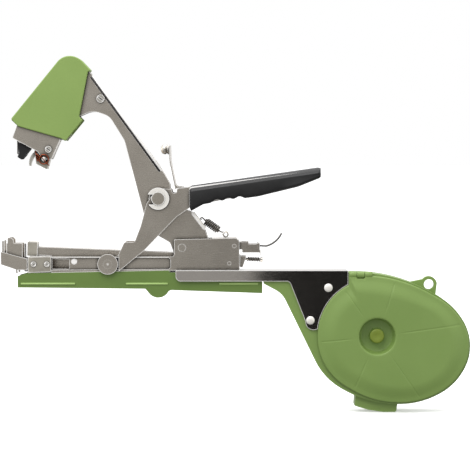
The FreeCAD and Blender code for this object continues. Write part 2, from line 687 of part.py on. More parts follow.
def lever_channel():
    plates = slab(lever_outline(), -LEVER_HALF, LEVER_HALF)
    plates = plates.cut(block(-240, -217.0, -THROUGH, THROUGH, 0, 20.6).cut(pin(ROLLER, BOSS_R, -THROUGH, THROUGH)))
    bosses = pin(ROLLER, BOSS_R, -LEVER_HALF - 0.9, LEVER_HALF + 0.9)
    plates = plates.fuse(bosses)
    plates = plates.cut(block(-245, -80, -LEVER_INNER, LEVER_INNER, 0, 90))
    flange = rounded([(-176.4, 66.2), (-176.4, 67.3), (-88.0, 78.7), (-88.0, 77.6)])
    plates = plates.fuse(both_sides(flange, LEVER_FLANGE, LEVER_HALF))
    bridge = rounded([(-146.0, 70.1), (-146.0, 71.2), (-88.0, 78.7), (-88.0, 77.6)])
    plates = plates.fuse(slab(bridge, -LEVER_HALF, LEVER_HALF))
    return plates.cut(pin(HANDLE_PIVOT, HANDLE_PIN_R + RUNNING, -14, 14))


def slide_rollers():
    """Rollers on the inside of the lever's front bosses, which run in the frame's side tracks."""
    pair = []
    for side in (-1, 1):
        roller = Part.makeCylinder(ROLLER_R, 1.1, point(ROLLER, side * 7.0), V(0, side, 0))
        neck = Part.makeCylinder(2.0, 1.4, point(ROLLER, side * 7.0), V(0, side, 0))
        pair.append(roller.fuse(neck))
    return Part.makeCompound(pair)


def grip_outline():
    return rounded([
        (-168.0, 68.9, 1.5), (-76.4, 82.0, 3.5), (-76.0, 74.2, 2), (-92.0, 68.6, 30), (-120.0, 61.8, 20),
        (-129.2, 60.6, 3), (-132.9, 62.2, 3), (-137.0, 59.8, 3), (-140.9, 61.0, 3), (-144.7, 58.6, 3),
        (-148.5, 60.0, 3), (-153.2, 57.2, 3), (-158.0, 56.4, 6), (-166.6, 51.6, 1.5),
    ])


def grip():
    body = slab(grip_outline(), -GRIP_HALF, GRIP_HALF)
    rim = [e for e in body.Edges if e.BoundBox.YLength < 1e-6 and e.BoundBox.XLength > 60]
    body = body.makeFillet(2.0, rim)
    room = rounded([(-170.0, 66.6), (-88.0, 77.3), (-80.0, 66.0), (-80.0, 40.0), (-170.0, 40.0)])
    body = body.cut(slab(room, -LEVER_INNER, LEVER_INNER))
    body = body.cut(lever_channel())
    return body.cut(block(-170.0, -150.0, -LEVER_FLANGE, LEVER_FLANGE, 55.0, 80.0))


def stop_leaf():
    side = rounded([(-177.9, 66.2), (-177.9, 68.0, 3), (-181.6, 86.0, 20), (-182.0, 97.3), (-181.0, 97.3),
                    (-180.6, 86.4, 20), (-176.9, 69.0, 2), (-172.0, 69.0), (-172.0, 68.0), (-176.6, 67.4)])
    return slab(side, -LEVER_HALF, LEVER_HALF)


def leaf_bumper():
    return Part.makeCylinder(2.9, 3.0, V(-185.0, 0, 94.6), V(1, 0, 0))


# Magazine -------------------------------------------------------------------

def magazine_channel():
    rear = BOX_REAR + 0.3
    channel = block(MAG_FRONT, rear, -MAG_HALF, MAG_HALF, MAG_LOW, MAG_HIGH)
    inner = MAG_HALF - MAG_SHEET
    channel = channel.cut(block(MAG_FRONT - 1, rear + 1, -inner, inner, MAG_LOW + MAG_SHEET, MAG_HIGH - 1.0))
    channel = channel.cut(block(MAG_FRONT + 60, rear + 1, -inner + 1, inner - 1, MAG_HIGH - 2, MAG_HIGH + 1))
    channel = channel.cut(pin(MAG_PIN, MAG_PIN_R + RUNNING, -THROUGH, THROUGH))
    slot = block(-273.4, -264.6, -THROUGH, THROUGH, MAG_LOW + 1.4, MAG_LOW + 2.2)
    return tilted(channel.cut(slot))


def magazine_front():
    block_low, block_high = MAG_LOW + 1.4, MAG_HIGH + 3.4
    front = block(MAG_FRONT - 7.2, MAG_FRONT, -MAG_HALF - 0.8, MAG_HALF + 0.8, block_low, block_high)
    exit_slot = block(MAG_FRONT - 8, MAG_FRONT - 5.6, -3.2, 3.2, block_low - 1, block_high + 1)
    front = front.cut(exit_slot)
    room = block(MAG_FRONT - 5.7, MAG_FRONT + 1, -3.2, 3.2, block_low - 1, MAG_HIGH - 1.0)
    return tilted(front.cut(room))


def staple_stick():
    outer = block(MAG_FRONT - 5.4, -232.0, -3.0, 3.0, MAG_LOW + MAG_SHEET + 0.1, MAG_HIGH - 1.2)
    room = block(MAG_FRONT - 6, -231.0, -2.5, 2.5, MAG_LOW, MAG_HIGH - 1.7)
    return tilted(outer.cut(room))


def magazine_end_plate():
    side = rounded([(BOX_REAR + 0.3, MAG_LOW - 0.6), (BOX_REAR + 0.3, MAG_HIGH - 0.4),
                    (BOX_REAR + 4.6, MAG_HIGH - 0.4, 0.8), (BOX_REAR + 2.2, MAG_LOW - 0.6, 0.8)])
    plate = slab(side, -4.6, 4.6)
    hole = Part.makeCylinder(ROD_R + 0.35, 20, V(-140, 0, ROD_Z), V(1, 0, 0))
    return tilted(plate.cut(hole))


def magazine_lift_spring():
    x = -244.0
    low = base_top(x) + FLOOR_SHEET
    return spring(V(x, 0, low + 0.45), V(x, 0, 16.6), 2.4, 0.4, 5)


def staple_pusher():
    body = block(-231.4, -222.0, -2.9, 2.9, MAG_LOW + MAG_SHEET + 0.3, MAG_HIGH - 1.5)
    rod = Part.makeCylinder(ROD_R, ROD_END + 223.0, V(-223.0, 0, ROD_Z), V(1, 0, 0))
    return tilted(body.fuse(rod))


def pusher_knob():
    knob = Part.makeCylinder(1.7, 1.8, V(ROD_END, 0, ROD_Z), V(1, 0, 0))
    return tilted(knob.makeFillet(0.4, [e for e in knob.Edges if e.BoundBox.XLength < 1e-6]))


def pusher_spring():
    return tilted(spring(V(-221.4, 0, ROD_Z), V(-134.6, 0, ROD_Z), 1.25, 0.3, 30))


def rod_spring():
    """The short spring between the end plate and the knob."""
    return tilted(spring(V(BOX_REAR + 5.4, 0, ROD_Z), V(ROD_END - 0.5, 0, ROD_Z), 1.35, 0.35, 7))


# Latch lever behind the box -----------------------------------------------------

def latch_lever():
    side = rounded([
        (-139.6, 24.6, 1), (-139.6, 29.8, 1), (-126.4, 30.2), (-126.4, 28.4), (-120.8, 28.4),
        (-120.8, 29.2), (-118.6, 29.2), (-118.6, 23.9), (-118.0, 23.9), (-118.0, 20.4), (-118.7, 20.4),
        (-118.7, 22.4), (-131.0, 22.4), (-131.0, 24.6)])
    lever = slab(side, -LATCH_HALF, LATCH_HALF)
    room = block(-131.5, -119.6, -LATCH_HALF + 1, LATCH_HALF - 1, 23.6, 31)
    lever = lever.cut(room)
    return lever.cut(pin(LATCH_PIN, LATCH_PIN_R + RUNNING, -THROUGH, THROUGH))


def thumb_strip():
    """The curved springy strip that the thumb presses."""
    side = curved((-118.6, 26.6), (-114.0, 26.4), ((-107.6, 29.6), (-103.0, 35.6)), (-103.8, 36.0),
                  ((-108.3, 30.3), (-114.2, 27.3)), (-118.6, 27.5))
    return slab(side, -3.6, 3.6)


os.makedirs("parts", exist_ok=True)
for builder in (
    reel_case_body, reel_cover, case_hinge_pin, reel_core, tape_roll,
    main_handle_bracket, bracket_rivets, base_cover,
    lower_frame, nose_cheeks, nose_screws, tape_guide, tape_posts, tape_chute, driver_plate,
    arm_pivot_pin, magazine_pivot_pin, latch_pin, spring_anchor, return_spring,
    clincher_arm, head_cover, arm_screw, head_plate, head_screws, clincher_jaw, finger_pin,
    finger_spring, tape_pad, pad_carrier, cutter_blade, handle_pivot_pin, pivot_bushes, pivot_clips, tape_finger,
    lever_channel, slide_rollers, grip, stop_leaf, leaf_bumper,
    magazine_channel, magazine_front, staple_stick, magazine_end_plate, magazine_lift_spring,
    staple_pusher, pusher_knob, pusher_spring, rod_spring,
    latch_lever, thumb_strip,
):
    save(builder.__name__, builder())
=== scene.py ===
import json
import math

import bmesh
import bpy
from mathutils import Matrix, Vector


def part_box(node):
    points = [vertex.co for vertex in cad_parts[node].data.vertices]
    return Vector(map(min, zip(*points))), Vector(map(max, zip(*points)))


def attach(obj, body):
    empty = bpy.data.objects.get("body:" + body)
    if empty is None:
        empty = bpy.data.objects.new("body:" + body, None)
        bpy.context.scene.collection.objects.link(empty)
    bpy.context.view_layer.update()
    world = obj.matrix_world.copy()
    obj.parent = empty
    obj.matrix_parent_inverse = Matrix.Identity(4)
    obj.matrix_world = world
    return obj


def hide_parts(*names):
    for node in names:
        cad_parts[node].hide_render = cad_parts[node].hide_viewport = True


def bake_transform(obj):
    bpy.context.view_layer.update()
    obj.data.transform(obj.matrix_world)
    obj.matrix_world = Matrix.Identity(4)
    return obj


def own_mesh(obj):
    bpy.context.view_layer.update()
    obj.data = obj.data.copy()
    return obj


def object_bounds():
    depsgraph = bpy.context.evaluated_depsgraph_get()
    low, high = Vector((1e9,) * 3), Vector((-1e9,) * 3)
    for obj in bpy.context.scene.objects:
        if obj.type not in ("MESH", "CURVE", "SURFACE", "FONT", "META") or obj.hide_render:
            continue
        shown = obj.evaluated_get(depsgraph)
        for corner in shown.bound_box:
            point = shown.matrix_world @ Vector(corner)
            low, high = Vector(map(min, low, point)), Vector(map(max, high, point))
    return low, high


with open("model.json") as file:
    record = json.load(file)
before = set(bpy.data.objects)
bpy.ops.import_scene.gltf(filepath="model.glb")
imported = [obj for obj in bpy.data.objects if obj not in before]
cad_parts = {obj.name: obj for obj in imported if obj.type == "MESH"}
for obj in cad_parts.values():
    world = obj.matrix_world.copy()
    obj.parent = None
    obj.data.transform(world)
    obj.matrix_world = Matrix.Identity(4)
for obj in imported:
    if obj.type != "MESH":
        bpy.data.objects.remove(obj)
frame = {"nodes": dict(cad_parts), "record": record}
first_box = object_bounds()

nodes = frame["nodes"]
MM = 0.001          # the frame's metres in one millimetre
TAU = math.tau


def circle(count):
    """Directions evenly round a full turn."""
    return [k * TAU / count for k in range(count)]


# ---------------------------------------------------------------- materials

def linear(red, green, blue):
    """A screen colour, 0 to 255, as the linear values that a shader takes."""
    out = []
    for value in (red, green, blue):
        c = value / 255
        out.append(c / 12.92 if c <= 0.04045 else ((c + 0.055) / 1.055) ** 2.4)
    return (*out, 1.0)


class Finish:
    """A material under construction: one Principled shader and the texture nodes that feed it."""

    def __init__(self, name):
        self.material = bpy.data.materials.new(name)
        self.material.use_nodes = True
        self.tree = self.material.node_tree
        self.shader = self.tree.nodes["Principled BSDF"]
        self.place = self.add("ShaderNodeTexCoord").outputs["Object"]

    def add(self, kind, **settings):
        node = self.tree.nodes.new(kind)
        for name, value in settings.items():
            setattr(node, name, value)
        return node

    def link(self, source, target):
        self.tree.links.new(source, target)

    def stretched(self, along, across=1.0, up=1.0):
        """The object's coordinates, scaled per axis, so that noise turns into streaks."""
        node = self.add("ShaderNodeMapping")
        self.link(self.place, node.inputs["Vector"])
        node.inputs["Scale"].default_value = (along, across, up)
        return node.outputs["Vector"]

    def noise(self, scale, detail=4.0, rough=0.55, place=None):
        """Cloudy noise, about 0.3 to 0.7, with scale in features per metre."""
        node = self.add("ShaderNodeTexNoise")
        self.link(place or self.place, node.inputs["Vector"])
        node.inputs["Scale"].default_value = scale
        node.inputs["Detail"].default_value = detail
        node.inputs["Roughness"].default_value = rough
        return node.outputs["Fac"]

    def spread(self, source, low, high, start=0.3, end=0.7):
        """source, from start to end, mapped to the range low to high."""
        node = self.add("ShaderNodeMapRange")
        self.link(source, node.inputs["Value"])
        for name, value in (("From Min", start), ("From Max", end), ("To Min", low), ("To Max", high)):
            node.inputs[name].default_value = value
        return node.outputs["Result"]

    def mixed(self, share, first, second):
        """A colour between first and second; either is a colour or another node's output."""
        node = self.add("ShaderNodeMix", data_type="RGBA")
        self.link(share, node.inputs["Factor"])
        for value, socket in ((first, node.inputs[6]), (second, node.inputs[7])):
            if isinstance(value, tuple):
                socket.default_value = value
            else:
                self.link(value, socket)
        return node.outputs[2]

    def hollow(self, reach, inside=False):
        """1 in the open, less where another surface is within reach; inside looks under the skin."""
        node = self.add("ShaderNodeAmbientOcclusion", samples=12, inside=inside)
        node.inputs["Distance"].default_value = reach * MM
        return node.outputs["AO"]

    def highlight_edges(self):
        """1 on outer edges, where the skin of the piece turns over, and 0 elsewhere: the mask for painted
        edge highlights.
        """
        return self.spread(self.hollow(HIGHLIGHT_REACH, inside=True), 1.0, 0.0, 0.55, 0.88)

    def bump(self, height, strength, distance):
        """One more layer of relief, distance millimetres high, on top of any already there."""
        node = self.add("ShaderNodeBump")
        self.link(height, node.inputs["Height"])
        node.inputs["Strength"].default_value = strength
        node.inputs["Distance"].default_value = distance * MM
        last = self.shader.inputs["Normal"]
        if last.is_linked:
            self.link(last.links[0].from_socket, node.inputs["Normal"])
        self.link(node.outputs["Normal"], last)

    def set(self, **values):
        """Values or textures for the shader's sockets, with _ for a space in a socket's name."""
        for name, value in values.items():
            socket = self.shader.inputs[name.replace("_", " ")]
            if hasattr(value, "is_linked"):
                self.link(value, socket)
            else:
                socket.default_value = value


# The near-white of the painted edge highlight on metal.
HIGHLIGHT_WHITE = (1.0, 0.985, 0.96, 1.0)
SHADE_REACH = 3.4     # how far, in mm, a neighbouring surface darkens a seam
HIGHLIGHT_REACH = 0.7     # how far, in mm, the painted edge highlight runs in from an outer edge


def plated(name, bright, dull, rough_low, rough_high, grain=0.01, pits=0.0, streak=(1.0, 1.0, 14.0),
           metal=1.0, edge_highlight=1.0):
    """Plated steel: rolling streaks, cloudy tone, painted shade in the seams, and painted highlights on the
    edges, near-white and less metallic.
    """
    f = Finish(name)
    cloud = f.noise(70, 5, 0.6)
    lines = f.noise(160, 6, 0.7, f.stretched(*streak))
    tone = f.mixed(f.spread(cloud, 0, 1), bright, dull)
    # Painted shade: the colour darkens where another surface is within reach.
    seam_shade = tuple(c * 0.08 for c in dull[:3]) + (1.0,)
    tone = f.mixed(f.spread(f.hollow(SHADE_REACH), 1.0, 0.0, 0.52, 0.95), tone, seam_shade)
    # Painted highlight: outer edges turn near-white and less metallic.
    edge_light = f.spread(f.highlight_edges(), 0.0, edge_highlight, 0.0, 1.0)
    f.set(Base_Color=f.mixed(edge_light, tone, HIGHLIGHT_WHITE))
    f.set(Metallic=f.spread(edge_light, metal, 0.0, 0.0, 1.0))
    f.set(Roughness=f.spread(lines, rough_low, rough_high))
    f.bump(lines, 0.2, grain)
    if pits:
        f.bump(f.noise(900, 3, 0.5), 0.6, pits)
    return f.material


def moulded(name, face, shade, rough, grain, speck=1400, sheen_edge=1.12):
    """Moulded plastic: a fine spark-eroded grain, faint flow clouds and a painted highlight that lightens the
    outer edges.
    """
    f = Finish(name)
    cloud = f.noise(22, 4, 0.55)
    tone = f.mixed(f.spread(cloud, 0, 1), face, shade)
    # Painted highlight: outer edges a little lighter than the face.
    edge_highlight = tuple(min(1.0, c * sheen_edge) for c in face[:3]) + (1.0,)
    f.set(Base_Color=f.mixed(f.highlight_edges(), tone, edge_highlight))
    f.set(Roughness=f.spread(f.noise(180, 4), rough - 0.06, rough + 0.08))
    f.shader.inputs["IOR"].default_value = 1.48
    f.shader.inputs["Specular IOR Level"].default_value = 0.45
    f.bump(f.noise(speck, 2, 0.5), 0.35, grain)
    f.bump(f.noise(60, 3, 0.5), 0.25, 0.12)
    return f.material


FINISHES = {
    "green_case": moulded("green_case", linear(129, 156, 84), linear(122, 149, 78), 0.42, 0.03),
    "nickel_steel": plated("nickel_steel", linear(216, 208, 198), linear(204, 196, 186), 0.24, 0.33, 0.012),
    "cast_nickel": plated("cast_nickel", linear(232, 226, 212), linear(196, 190, 178), 0.30, 0.46, 0.02,
                          pits=0.10, streak=(1.0, 1.0, 1.0)),
    "chrome_bracket": plated("chrome_bracket", linear(214, 208, 202), linear(206, 200, 195), 0.05, 0.11,
                             0.006, streak=(2.0, 1.0, 10.0)),
    "black_grip": moulded("black_grip", linear(33, 33, 34), linear(28, 28, 29), 0.36, 0.03, 1100, 1.4),
    "pin_steel": plated("pin_steel", linear(240, 236, 228), linear(220, 215, 206), 0.16, 0.28, 0.01,
                        streak=(1.0, 6.0, 1.0)),
    "spring_steel": plated("spring_steel", linear(150, 146, 140), linear(112, 108, 104), 0.20, 0.38,
                           edge_highlight=0.0),
    "copper_wire": plated("copper_wire", linear(186, 98, 66), linear(146, 70, 48), 0.22, 0.36, edge_highlight=0.0),
    "black_rubber": moulded("black_rubber", linear(30, 30, 31), linear(24, 24, 25), 0.62, 0.05, 800, 1.5),
    "staple_wire": plated("staple_wire", linear(206, 203, 196), linear(186, 183, 176), 0.22, 0.36, 0.01,
                          streak=(40.0, 1.0, 1.0)),
    "card_core": moulded("card_core", linear(170, 141, 100), linear(150, 122, 84), 0.85, 0.10, 500, 1.1),
    "tape_film": moulded("tape_film", linear(228, 234, 226), linear(214, 222, 214), 0.30, 0.02, 300, 1.0),
}

# Finishes that only some pieces of a slot have.
# A near-white, mostly non-metallic steel that paints a highlight on the clips, rivet domes, spot welds and
# flange beads.
HIGHLIGHT_STEEL = plated("highlight_steel", linear(255, 252, 246), linear(246, 242, 234), 0.3, 0.4, metal=0.3)
FLUSH_PIN = plated("flush_pin", linear(222, 214, 204), linear(208, 200, 190), 0.24, 0.33, edge_highlight=0.0)
FLANGE_SHADE = plated("flange_shade", linear(92, 90, 90), linear(80, 78, 78), 0.3, 0.4, edge_highlight=0.0)
# A lighter green: painted highlight on the base cover's ribs.
RIB_HIGHLIGHT_GREEN = moulded("green_rib_highlight", linear(158, 186, 112), linear(150, 178, 104), 0.42, 0.03)
PIN_FACE = plated("pin_face", linear(214, 206, 194), linear(200, 192, 180), 0.24, 0.34,
                  streak=(1.0, 1.0, 1.0))
BOSS_GREEN = moulded("green_boss", linear(124, 142, 50), linear(118, 135, 46), 0.40, 0.03)
# A darker copy of the case green for the base cover: painted shade.
SHADED_BASE_GREEN = moulded("green_base_shaded", linear(108, 134, 66), linear(100, 127, 61), 0.38, 0.03)
# A lighter copy of the case green for the head cover: painted light.
LIT_HEAD_GREEN = moulded("green_head_lit", linear(142, 169, 92), linear(136, 163, 87), 0.46, 0.03)

for part in frame["record"]["subparts"]:
    mesh = nodes[part["node"]].data
    mesh.materials.clear()
    mesh.materials.append(FINISHES[part["material_slot"]])
for name, finish in (("base_cover", SHADED_BASE_GREEN), ("head_cover", LIT_HEAD_GREEN), ("handle_pivot_pin", PIN_FACE),
                     ("arm_pivot_pin", FLUSH_PIN), ("magazine_pivot_pin", FLUSH_PIN),
                     ("latch_pin", FLUSH_PIN), ("pivot_clips", HIGHLIGHT_STEEL)):
    nodes[name].data.materials[0] = finish


# ---------------------------------------------------------------- soft edges on the CAD pieces

# Bevel widths in millimetres for the larger pieces. The small ones have PLAIN_EDGE.
EDGE_WIDTHS = {
    "reel_case_body": 0.6, "reel_cover": 0.5, "base_cover": 0.6, "head_cover": 0.9, "grip": 0.9,
    "main_handle_bracket": 0.5, "lower_frame": 0.45, "clincher_arm": 0.55, "lever_channel": 0.55,
    "head_plate": 0.4, "tape_guide": 0.3, "magazine_channel": 0.3, "slide_rollers": 0.5,
}
PLAIN_EDGE = 0.15
SHARPEST_SMOOTH = 32.0    # degrees; a sharper edge is bevelled
FLAT_ENOUGH = 0.6         # degrees; faces closer than this are one flat face
# Wound wires, and pieces that are round or hidden.
UNTOUCHED = {"return_spring", "magazine_lift_spring", "pusher_spring", "rod_spring", "finger_spring",
             "tape_roll", "reel_core", "staple_stick"}

for name, node in nodes.items():
    if name in UNTOUCHED:
        continue
    flat = node.modifiers.new("flat", "DECIMATE")
    flat.decimate_type = "DISSOLVE"
    flat.angle_limit = math.radians(FLAT_ENOUGH)
    soft = node.modifiers.new("soft_edges", "BEVEL")
    soft.width = EDGE_WIDTHS.get(name, PLAIN_EDGE) * MM
    soft.segments = 2
    soft.limit_method = "ANGLE"
    soft.angle_limit = math.radians(SHARPEST_SMOOTH)
    soft.use_clamp_overlap = name not in EDGE_WIDTHS
    even = node.modifiers.new("even_normals", "WEIGHTED_NORMAL")
    even.keep_sharp = False

for node in nodes.values():
    for face in node.data.polygons:
        face.use_smooth = True


# ---------------------------------------------------------------- pieces built over the CAD shapes

def arcs(corners, turn=5.0):
    """Points (x, z) along a closed polygon whose third value, if any, rounds that corner."""
    out = []
    count = len(corners)
    for i, corner in enumerate(corners):
        here = Vector(corner[:2])
        if len(corner) < 3:
            out.append(here)
            continue
        before = (Vector(corners[i - 1][:2]) - here).normalized()
        after = (Vector(corners[(i + 1) % count][:2]) - here).normalized()
        half = before.angle(after) / 2
        reach = corner[2] / math.tan(half)
        centre = here + (before + after).normalized() * (corner[2] / math.sin(half))
        first, last = here + before * reach - centre, here + after * reach - centre
        steps = max(2, int(math.degrees(first.angle(last)) / turn))
        for k in range(steps + 1):
            out.append(centre + first.slerp(last, k / steps).normalized() * corner[2])
    return out


WELD = 0.002         # mm; points closer than this are one


def build(name, points, faces, finish, body, node=None, slot=None):
    """A piece from points in millimetres, perhaps riding on a body or standing for a CAD node."""
    mesh = bpy.data.meshes.new(name)
    mesh.from_pydata([Vector(p) * MM for p in points], [], faces)
    for material in finish if isinstance(finish, list) else [finish]:
        mesh.materials.append(material)
    work = bmesh.new()
    work.from_mesh(mesh)
    bmesh.ops.remove_doubles(work, verts=work.verts, dist=WELD * MM)
    bmesh.ops.recalc_face_normals(work, faces=work.faces)
    work.to_mesh(mesh)
    work.free()
    for face in mesh.polygons:
        face.use_smooth = True
    thing = bpy.data.objects.new(name, mesh)
    bpy.context.scene.collection.objects.link(thing)
    if body:
        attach(thing, body)
    if node:
        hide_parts(node)
    return thing


def rings(loops, cap_first=True, cap_last=True):
    """Points and faces of a skin through closed loops of equal length."""
    width = len(loops[0])
    points = [p for loop in loops for p in loop]
    faces = []
    for row in range(len(loops) - 1):
        for k in range(width):
            a, b = row * width + k, row * width + (k + 1) % width
            faces.append((a, b, b + width, a + width))
    if cap_first:
        faces.append(tuple(range(width - 1, -1, -1)))
    if cap_last:
        faces.append(tuple(range((len(loops) - 1) * width, len(loops) * width)))
    return points, faces


def turned(centre, profile, around=48):
    """Loops round an axis along Y at centre (x, z), from pairs (radius, y)."""
    loops = []
    for radius, y in profile:
        loops.append([(centre[0] + radius * math.cos(a), y, centre[1] + radius * math.sin(a))
                      for a in circle(around)])
    return loops


def turned_x(centre, profile, around=36):
    """Loops round an axis along X at centre (y, z), from pairs (radius, x)."""
    loops = []
    for radius, x in profile:
        loops.append([(x, centre[0] + radius * math.cos(a), centre[1] + radius * math.sin(a))
                      for a in circle(around)])
    return loops


def joined(*skins):
    """Several (points, faces) as one."""
    points, faces = [], []
    for more_points, more_faces in skins:
        shift = len(points)
        points += more_points
        faces += [tuple(i + shift for i in face) for face in more_faces]
    return points, faces


def on_both_sides(centre, profile, around=48):
    """A turned shape on each side of the tool, from pairs (radius, height over the middle plane)."""
    return joined(*[rings(turned(centre, [(r, y * side) for r, y in profile], around)) for side in (-1, 1)])


# Places on the tool, (x, z) unless said, in millimetres.

HUB = (-36.9, -35.6)
CASE_RIVETS = ((-70.9, -1.8), (-83.4, -24.6))
COVER_HINGE = (-9.6, 7.2)                  # (y, z)
CASE_KNUCKLE = (-51.3, -45.7)              # from x to x, between the cover's two knuckles
HANDLE_ROLLER = (-224.7, 14.6)
FRAME_SPOT = (-248.3, 16.3)
JAW_STUD = (-269.0, 87.6)
BUTTON = (0.0, 94.6)                       # (y, z)


# Reel cover: a lip, a broad shoulder, a nearly flat middle with six creases, and a deep hub well.

COVER = arcs([(-56.8, 6.9), (-56.8, 0.2, 1), (-78.3, -11.6, 40), (-78.3, -59.5, 40), (-38.9, -82.4, 65),
              (-5.8, -82.4, 55), (17.1, -69.2, 38), (27.3, -51.4, 32), (27.3, -34.0, 29), (16.2, -14.8, 45),
              (-22.9, 6.9, 98)], 2.0)
CREASES = [math.radians(a) for a in (125, 72, 8, -55, -113, 186)]
CREASE_DEPTH, CREASE_HALF, CREASE_START = 0.22, 0.7, 17.0
SPOKES = circle(720)
SHOULDER_STEPS = 14
SHOULDER_END = 13.5       # in from the outline
SHOULDER_RISE = 2.45
WELL_RADIUS = 14.4
BOSS_RADIUS = 5.02
NOTCH_TOP = 4.7           # the cover's upper edge below the case's knuckle
COVER_WALL = 1.4
# Pairs (distance in from the outline, y), then pairs (distance from the hub, y).
LIP = [(0.0, -8.95), (0.0, -10.6), (0.35, -11.1), (0.9, -11.3), (1.7, -11.35), (2.1, -11.45)]
WELL = [(WELL_RADIUS, -13.97), (13.4, -13.95), (12.8, -13.7), (12.5, -13.0), (11.9, -7.2), (11.4, -6.2),
        (10.4, -5.8), (6.0, -5.7), (5.3, -5.9), (5.05, -6.6), (5.0, -10.2), (4.7, -10.8), (4.1, -11.0),
        (2.2, -10.9), (1.6, -10.7), (0.4, -10.65)]


def reach_of_outline(angle):
    """Distance from the hub to the cover's outline in a direction."""
    way = Vector((math.cos(angle), math.sin(angle)))
    best = 0.0
    for a, b in zip(COVER, COVER[1:] + COVER[:1]):
        a, b = a - Vector(HUB), b - Vector(HUB)
        edge = b - a
        cross = way.x * edge.y - way.y * edge.x
        if abs(cross) < 1e-9:
            continue
        along = (a.x * edge.y - a.y * edge.x) / cross
        share = (a.x * way.y - a.y * way.x) / cross
        if along > 0 and -1e-6 <= share <= 1 + 1e-6:
            best = max(best, along)
    return best


def cover_skin():
    """Loops (distance from the hub, y) for each spoke, from the lip in to the hub."""
    reaches = [reach_of_outline(a) for a in SPOKES]
    start, level = LIP[-1]
    shoulder = []
    for k in range(1, SHOULDER_STEPS + 1):
        t = k / SHOULDER_STEPS
        shoulder.append((start + (SHOULDER_END - start) * t,
                         level - SHOULDER_RISE * math.sin(t * math.pi / 2) ** 1.4))
    loops = [[(reach - inset, y) for reach in reaches] for inset, y in LIP + shoulder]
    for share in (0.2, 0.4, 0.6, 0.8):
        loops.append([((reach - SHOULDER_END) * (1 - share) + WELL_RADIUS * share, -13.9 - 0.07 * share)
                      for reach in reaches])
    return loops + [[well] * len(SPOKES) for well in WELL]


def creased(angle, radius, y):
    """The skin's y with the creases pressed in, outside the hub well."""
    if radius <= CREASE_START or y >= -11.5:
        return y
    for crease in CREASES:
        off = abs(math.remainder(angle - crease, TAU)) * radius
        fade = min(1.0, (radius - CREASE_START) / 4)
        y += CREASE_DEPTH * fade * max(0.0, 1 - off / CREASE_HALF)
    return y


def cover_piece():
    """The cover as a skin with a wall thickness, its boss in a yellower green."""
    placed = []
    for loop in cover_skin():
        ring = []
        for angle, (radius, y) in zip(SPOKES, loop):
            x, z = HUB[0] + radius * math.cos(angle), HUB[1] + radius * math.sin(angle)
            if CASE_KNUCKLE[0] < x < CASE_KNUCKLE[1]:
                z = min(z, NOTCH_TOP)
            ring.append((x, creased(angle, radius, y), z))
        placed.append(ring)
    piece = build("reel_cover_skin", *rings(placed, cap_first=False), [FINISHES["green_case"], BOSS_GREEN],
                  "reel_cover", "reel_cover", "green_case")
    for face in piece.data.polygons:
        middle = face.center / MM
        if math.hypot(middle.x - HUB[0], middle.z - HUB[1]) < BOSS_RADIUS:
            face.material_index = 1
    wall = piece.modifiers.new("wall", "SOLIDIFY")
    wall.thickness = COVER_WALL * MM
    wall.offset = -1


def cover_knuckles():
    """Two hinge barrels, one on each side of the case's own."""
    length = 5.3
    for name, start, end in (("cover_knuckle_left", CASE_KNUCKLE[0] - length, CASE_KNUCKLE[0]),
                             ("cover_knuckle_right", CASE_KNUCKLE[1], CASE_KNUCKLE[1] + length)):
        barrel = [(1.05, start), (2.1, start), (2.3, start + 0.2), (2.3, end - 0.2), (2.1, end), (1.05, end),
                  (1.05, start)]
        build(name, *rings(turned_x(COVER_HINGE, barrel), False, False), FINISHES["green_case"],
              "reel_cover", slot="green_case")


cover_piece()
cover_knuckles()


# Grip: a sleeve with a broad bevel along its top edge, finger ripples below and a squared rear end.

# The underside, front to rear. The last two corners only close the polygon, and are dropped.
GRIP_LOW = arcs([(-166.6, 51.6), (-158.0, 56.4, 6), (-153.2, 57.2, 3), (-148.5, 60.0, 3), (-144.7, 58.6, 3),
                 (-140.9, 61.0, 3), (-137.0, 59.8, 3), (-132.9, 62.2, 3), (-129.2, 60.6, 3),
                 (-120.0, 61.8, 20), (-92.0, 68.6, 30), (-76.0, 75.0), (-76.0, 40.0), (-166.6, 40.0)],
                6.0)[:-2]
GRIP_FRONT, GRIP_REAR = -167.6, -76.4
GRIP_STEP = 0.6
GRIP_STATIONS = 153
GRIP_TOP, GRIP_RISE = 68.9, 0.1430        # the height at x -168, and the slope from there
GRIP_HALF = 11.6
FRONT_SLOT = (-172, -6.4, 55), (-150, 6.4, 80)     # the hollow in the middle of the front end


def grip_low(x):
    """The underside's height at x."""
    for a, b in zip(GRIP_LOW, GRIP_LOW[1:]):
        if a.x <= x <= b.x:
            return a.y + (b.y - a.y) * (x - a.x) / max(1e-6, b.x - a.x)
    return GRIP_LOW[0].y if x < GRIP_LOW[0].x else GRIP_LOW[-1].y


def grip_section(x):
    """The sleeve's closed section at x, a little smaller at its two ends."""
    end = max(0.0, 1 - (x - GRIP_FRONT) / 1.2) + max(0.0, 1 - (GRIP_REAR - x) / 1.2)
    high = GRIP_TOP + (x + 168.0) * GRIP_RISE - 0.5 * end
    low = (grip_low(x) if x > -166.6 else 51.6 + (-166.6 - x) * 2) + 0.5 * end
    half = GRIP_HALF - 0.5 * end
    dent = 0.35 * max(0.0, min(1.0, (x + 106) / 10))
    side = [(8.3, low + 0.8), (9.3, low), (10.6, low + 0.4), (half - 0.1, low + 1.5), (half, low + 2.2),
            (half - dent, low + 2.9), (half, high - 4.0), (half - 0.25, high - 3.3), (8.4, high - 0.35),
            (7.4, high)]
    left = [(x, -y, z) for y, z in side]
    right = [(x, y, z) for y, z in reversed(side)]
    return left + right + [(x, 8.3, high - 2.6), (x, -8.3, high - 2.6)]


